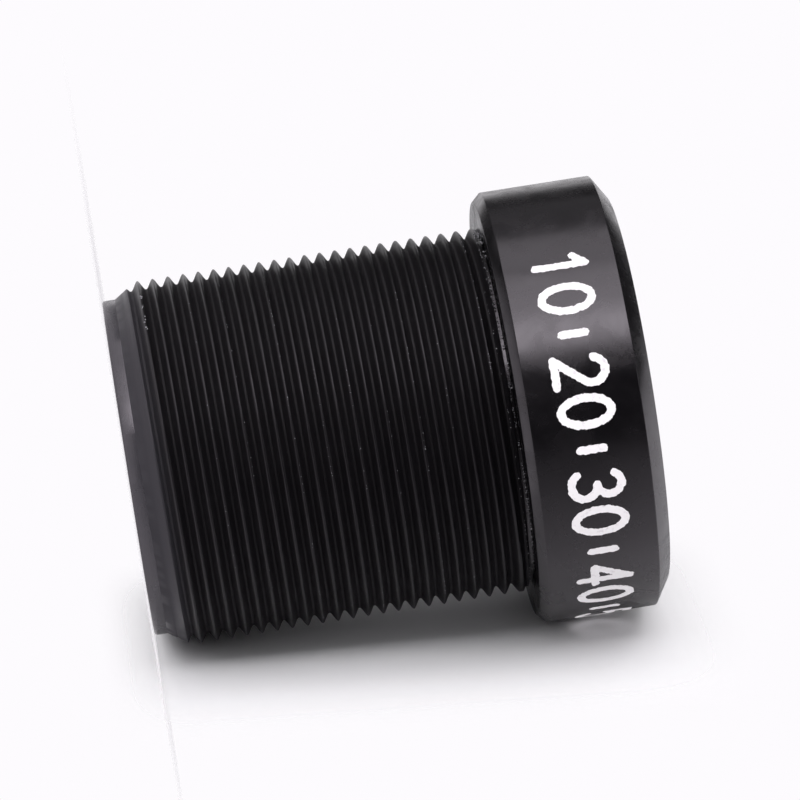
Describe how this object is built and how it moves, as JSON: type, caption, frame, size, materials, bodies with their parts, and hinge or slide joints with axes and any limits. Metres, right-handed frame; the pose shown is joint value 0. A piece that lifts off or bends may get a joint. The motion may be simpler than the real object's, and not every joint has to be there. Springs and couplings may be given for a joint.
{
  "type": "board camera lens",
  "caption": "Fixed-focus board camera lens: slim barrel with a fine M12 mounting thread and a wider chamfered grip head.",
  "frame": {"origin": "centre of the rear end face, where the lens stands on its rear rim; it is also the datum for the lens's flange distance", "axes": "+Z along the optical axis, from the sensor side toward the subject; X and Y are alike, and the retaining ring's two spanner slots lie along X"},
  "size_m": [0.0142, 0.0142, 0.0167],
  "materials": {
    "black_anodised_aluminium": "satin black anodised aluminium, machined",
    "dull_black_aluminium": "matt black anodised aluminium",
    "coated_front_glass": "optical glass with a bluish anti-reflection coating",
    "clear_glass": "polished optical glass",
    "filter_glass": "flat glass plate with an infrared-cut coating",
    "black_adhesive": "cured black adhesive"
  },
  "bodies": {
    "root": {"barrel": "black_anodised_aluminium", "retaining_ring": "dull_black_aluminium", "front_element": "coated_front_glass", "front_spacer": "dull_black_aluminium", "second_element": "clear_glass", "aperture_stop": "dull_black_aluminium", "rear_spacer": "dull_black_aluminium", "doublet_flint": "clear_glass", "doublet_crown": "clear_glass", "ir_cut_filter": "filter_glass", "filter_glue": "black_adhesive"}
  },
  "joints": []
}
